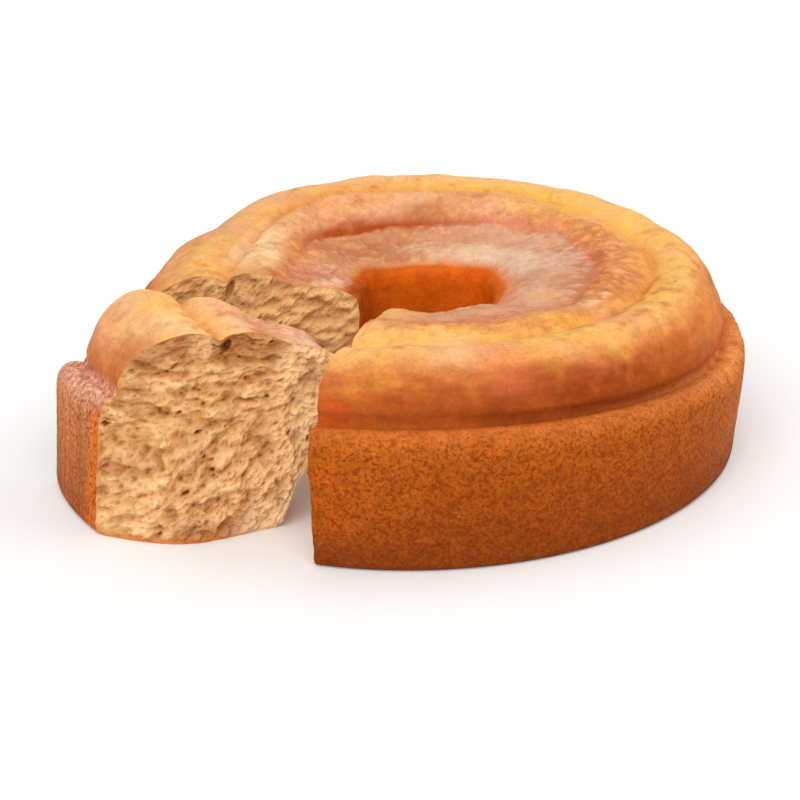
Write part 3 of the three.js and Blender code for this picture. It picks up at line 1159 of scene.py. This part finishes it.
def sugared_slope(tree, skin, place, crystals):
    """Damp sugar on the slope round the hole: greyish and rosy on the right, cream by the rim."""
    above_mouth = passing(tree, place, MOUTH, (33.5, 64.5))
    brink = total(tree, place, height_of(tree, mottle(tree, 0.006, 0.4), 1.0, 0.03))
    dusty = product(tree, zone(tree, brink, STEP_TOP, STEP_FOOT, LIP, MOUTH), above_mouth)
    rim = product(tree, zone(tree, brink, (52, 68.5), (43, 67.2), LIP, MOUTH), above_mouth)
    sparkle = ranged(tree, crystals, 0.36, 0.66)
    blotches = ranged(tree, mottle(tree, 0.0045, 0.4), 0.5, 1.5)
    damp = blend(tree, blotches, (196, 142, 112), (210, 166, 138))
    sand = layer(tree, damp, (230, 192, 164), sparkle, 0.4)
    skin = layer(tree, skin, sand, dusty, facing(tree, 20, 75), 0.9)
    skin = layer(tree, skin, (212, 118, 88), dusty, rest_of(tree, dusty), facing(tree, 15, 80), 2.8)
    frosted = ranged(tree, total(tree, blotches, product(tree, sparkle, 0.3)), -0.2, 1.3, 0.3, 0.85)
    skin = layer(tree, skin, (226, 197, 163), rim, facing(tree, 48, 52), frosted)
    skin = layer(tree, skin, (228, 190, 168), rim, facing(tree, 172, 20), frosted)
    near = zone(tree, place, (69, 73.2), STEP_TOP, LIP, MOUTH)
    stains = ranged(tree, mottle(tree, 0.0042), 1.0, 1.35)
    return layer(tree, skin, (192, 108, 74), near, facing(tree, -70, 30), stains, 0.7)


def crust_material():
    material, tree, shader = new_material("baked_crust")
    place = attribute(tree, "along")
    on_wall = passing(tree, place, CREASE_TOP, WALL_TOP)
    on_top = zone(tree, place, FLANK, CREST, LIP, MOUTH)
    on_flank = zone(tree, place, (112, 51.4), CREASE_TOP, SHOULDER, CREST)
    on_inner_roll = zone(tree, place, GROOVE, INNER_CREST, STEP_TOP, STEP_FOOT)
    crease_shade_zone = zone(tree, place, CREASE_FOOT, CREASE, CREASE_TOP, FLANK)
    rough_top = zone(tree, place, GROOVE, INNER_CREST, LIP, MOUTH)
    on_ring = rest_of(tree, attribute(tree, "blush"))

    skin = slice_skin(tree, baked_tint(tree, place), place, on_wall, on_flank)
    skin = local_tints(tree, mottled(tree, skin, on_top), place, on_ring)
    skin = layer(tree, skin, (0, 0, 0), on_top, on_ring, 0.09)
    skin = streaked(tree, skin, on_flank, 12, 3.2, 0.7)
    crystals = use(tree, GRAIN, Size=0.0014)
    skin = sugared_slope(tree, skin, place, crystals)

    fine = use(tree, GRAIN, Size=0.0012)
    speckle = ranged(tree, crystals, 0.51, 0.63)
    contrast = scaled(tree, on_wall, 1.0, 0.5)
    speck = scaled(tree, maths(tree, "SUBTRACT", fine, 0.5), contrast, 1.0)
    skin = blend(tree, 1.0, skin, speck, "MULTIPLY")
    skin = layer(tree, skin, (130, 46, 4), speckle, scaled(tree, on_wall, 0.66, 0.06))
    # Painted shade: dark brown in the crease under the roll, strongest on the right front.
    skin = layer(tree, skin, (108, 44, 10), crease_shade_zone, facing(tree, -52, 36), 0.35)
    # Painted shade: darker brown in the low points of the relief on the rough top round the hole.
    crevice_shade = ranged(tree, attribute(tree, "rise"), 0.1, -0.9)
    skin = layer(tree, skin, (176, 94, 44), crevice_shade, rough_top, scaled(tree, on_ring, 0.3, 0.3))
    freckles = use(tree, PORES, Size=0.0034, Start=0.54)
    skin = layer(tree, skin, (186, 100, 48), freckles, on_inner_roll, on_ring, 0.3)

    broken = ranged(tree, mottle(tree, 0.009, 0.4), 0.7, 1.0, 0.6, 1.0)
    # Darker orange in the crack: its torn inside, with painted shade in the gap.
    skin = layer(tree, skin, (164, 72, 26), attribute(tree, "crack"), broken)
    # Darker orange along the fold between the rolls: browner crust with painted shade in the crease,
    # weaker at the front.
    front = scaled(tree, facing(tree, -100, 35), -0.35, 0.5)
    skin = layer(tree, skin, (206, 112, 42), attribute(tree, "fold"), front)
    set_surface(tree, shader, skin, 0.6, 0.04)
    bumps = total(tree, fine, product(tree, speckle, -0.5))
    set_bumps(tree, shader, product(tree, bumps, scaled(tree, on_wall, 0.6, 0.4)), 0.8, 0.4)
    return material


# Browner and paler clumps on the slice's cuts: radius, height and size in millimetres, tint, share.
CLUMPS = (
    (107, 51, 6.5, (160, 98, 46), 0.75),
    (65, 63, 7, (160, 98, 46), 0.5),
    (113, 30, 8, (172, 108, 54), 0.45),
    (76, 66, 7, (160, 98, 46), 0.4),
    (65, 42, 8, (172, 110, 54), 0.35),
    (75, 50, 6, (172, 110, 54), 0.35),
    (46, 55, 8, (160, 98, 46), 0.4),
    (89, 69, 6, (250, 200, 142), 0.5),
    (55, 63, 7, (255, 214, 160), 0.6),
    # Painted light: the two paler clumps at the foot stand against the shade near the floor.
    (62, 3, 9, (255, 226, 180), 0.6),
    (45, 6, 9, (255, 226, 180), 0.5),
)


def clumped(tree, crumb, across, height, on_slice):
    for r, z, size, tint, strength in CLUMPS:
        aside = maths(tree, "SUBTRACT", across, r * MM)
        above = maths(tree, "SUBTRACT", height, z * MM)
        near = ranged(tree, squares(tree, aside, above), 1.6 * (size * MM) ** 2, 0)
        crumb = layer(tree, crumb, tint, near, ragged(tree, 0.005), on_slice, strength)
    return crumb


def crumb_material():
    material, tree, shader = new_material("torn_crumb")
    place, on_slice = attribute(tree, "along"), attribute(tree, "blush")
    across, height = attribute(tree, "across"), attribute(tree, "height")
    depth = product(tree, attribute(tree, "inside"), mottle(tree, 0.007))
    # Painted shade and light: the crumb is darker in the hollows of its relief and lighter on its
    # lumps.
    crumb = ramp(tree, ranged(tree, attribute(tree, "rise"), -2.0, 1.4, soft=False), stops(
        (0.0, 132, 76, 30),
        (0.3, 188, 130, 74),
        (0.6, 214, 160, 102),
        (1.0, 235, 188, 132),
    ))
    crumb = blend(tree, 1.0, crumb, mottle(tree, 0.011, 0.1), "MULTIPLY")
    # Painted shade: darker in the small pores.
    pores = use(tree, PORES, Size=0.0017, Start=0.58)
    crumb = layer(tree, crumb, (170, 112, 58), pores, 0.35)
    # A browner band of crumb just under the top crust.
    under_top_band = ranged(tree, depth, 0.012, 0.004)
    outward = ranged(tree, across, 0.05, 0.07, 0.2, 0.7)
    crumb = layer(tree, crumb, (162, 98, 50), under_top_band, passing(tree, place, FLANK, SHOULDER), outward)
    # Painted light: the ring's own cut faces are made paler, against the shade of the gap in front of
    # them.
    crumb = layer(tree, crumb, (255, 204, 134), rest_of(tree, on_slice), 0.5)
    # Painted light: the slice's cut face is paler towards its inner end, which the lamps light less.
    hole_end_light = ranged(tree, across, 0.068, 0.044, 0.0, 0.45)
    crumb = layer(tree, crumb, (255, 222, 170), hole_end_light, on_slice)
    crumb = clumped(tree, crumb, across, height, on_slice)
    skin = ranged(tree, depth, 0.0013, 0.0004)
    crumb = layer(tree, crumb, (206, 120, 48), skin, passing(tree, place, SHOULDER, FLANK, 0.1, 0.4))
    # Painted light: the crumb is paler near the floor, against the shade there.
    crumb = layer(tree, crumb, (255, 222, 174), ranged(tree, height, 0.04, 0.01, 0.0, 0.07))
    foot = ranged(tree, product(tree, height, mottle(tree, 0.012)), 0.0034, 0.0012)
    crumb = layer(tree, crumb, (196, 110, 44), foot, ranged(tree, across, 0.062, 0.084, 0.1, 0.6))
    set_surface(tree, shader, crumb, 0.85, 0.1)
    fine = use(tree, GRAIN, Size=0.0009)
    set_bumps(tree, shader, maths(tree, "SUBTRACT", fine, pores), 0.7, 0.5)
    return material


def floor_material():
    material, tree, shader = new_material("pale_floor")
    tint = blend(tree, 1.0, (244, 244, 244), mottle(tree, 0.4, 0.004), "MULTIPLY")
    set_surface(tree, shader, tint, 0.6, 0.1)
    return material


# The cake.

CRUST = crust_material()
CRUMB = crumb_material()
RELIEF = relief()

ring = spun_piece("cake_ring", FRONT_CUT, BACK_CUT, RING_MESH, (CRUST, CRUMB))
let_rise(ring, FRONT_CUT, BACK_CUT, ring_swell)
roughen(ring, RELIEF)
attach(ring, "root")
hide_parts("ring")

wedge = spun_piece("cake_slice", SLICE_FRONT - SLICE_ANGLE, SLICE_FRONT, SLICE_MESH, (CRUST, CRUMB))
let_rise(wedge, SLICE_FRONT - SLICE_ANGLE, SLICE_FRONT, slice_swell, lean_slice)
roughen(wedge, RELIEF)
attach(wedge, "root")
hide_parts("slice")


# Floor, light and camera.

FLOOR_SIZE = 30
SKY_LIGHT = 0.68
LAMP_SPREAD = 60
LAMPS = (
    ("front_softbox", (46, 0, -4), 1.6),
    ("left_fill", (20, -65, 0), 0.4),
    ("right_fill", (-4, 65, 0), 1.0),
)


def lay_floor():
    bpy.ops.mesh.primitive_plane_add(size=FLOOR_SIZE, location=(0, 0, 0))
    floor = bpy.context.object
    floor.name = "floor"
    floor.data.materials.append(floor_material())


def light_scene():
    world = bpy.data.worlds.new("studio")
    world.use_nodes = True
    sky = world.node_tree.nodes["Background"]
    sky.inputs["Color"].default_value = (1, 1, 1, 1)
    sky.inputs["Strength"].default_value = SKY_LIGHT
    bpy.context.scene.world = world
    bpy.context.scene.view_settings.view_transform = "Standard"
    for name, angles, energy in LAMPS:
        bpy.ops.object.light_add(type="SUN", rotation=[math.radians(angle) for angle in angles])
        lamp = bpy.context.object
        lamp.name = name
        lamp.data.energy = energy
        lamp.data.angle = math.radians(LAMP_SPREAD)


def place_camera():
    e, roll = math.radians(CAMERA_ELEVATION), math.radians(CAMERA_ROLL)
    back = Vector((0, -math.cos(e), math.sin(e)))
    right, up = Vector((1, 0, 0)), Vector((0, math.sin(e), math.cos(e)))
    across = right * math.cos(roll) + up * math.sin(roll)
    upright = up * math.cos(roll) - right * math.sin(roll)
    turn = Matrix((across, upright, back)).transposed()
    bpy.ops.object.camera_add(location=AXIS + back * CAMERA_DISTANCE * MM, rotation=turn.to_euler())
    camera = bpy.context.object
    camera.data.sensor_width = SENSOR
    camera.data.lens = SENSOR * CAMERA_FOCAL_PX / FRAME_PX
    camera.data.shift_x = (FRAME_PX / 2 - CAMERA_CENTRE_PX[0]) / FRAME_PX
    camera.data.shift_y = (CAMERA_CENTRE_PX[1] - FRAME_PX / 2) / FRAME_PX
    bpy.context.scene.camera = camera


lay_floor()
light_scene()
place_camera()
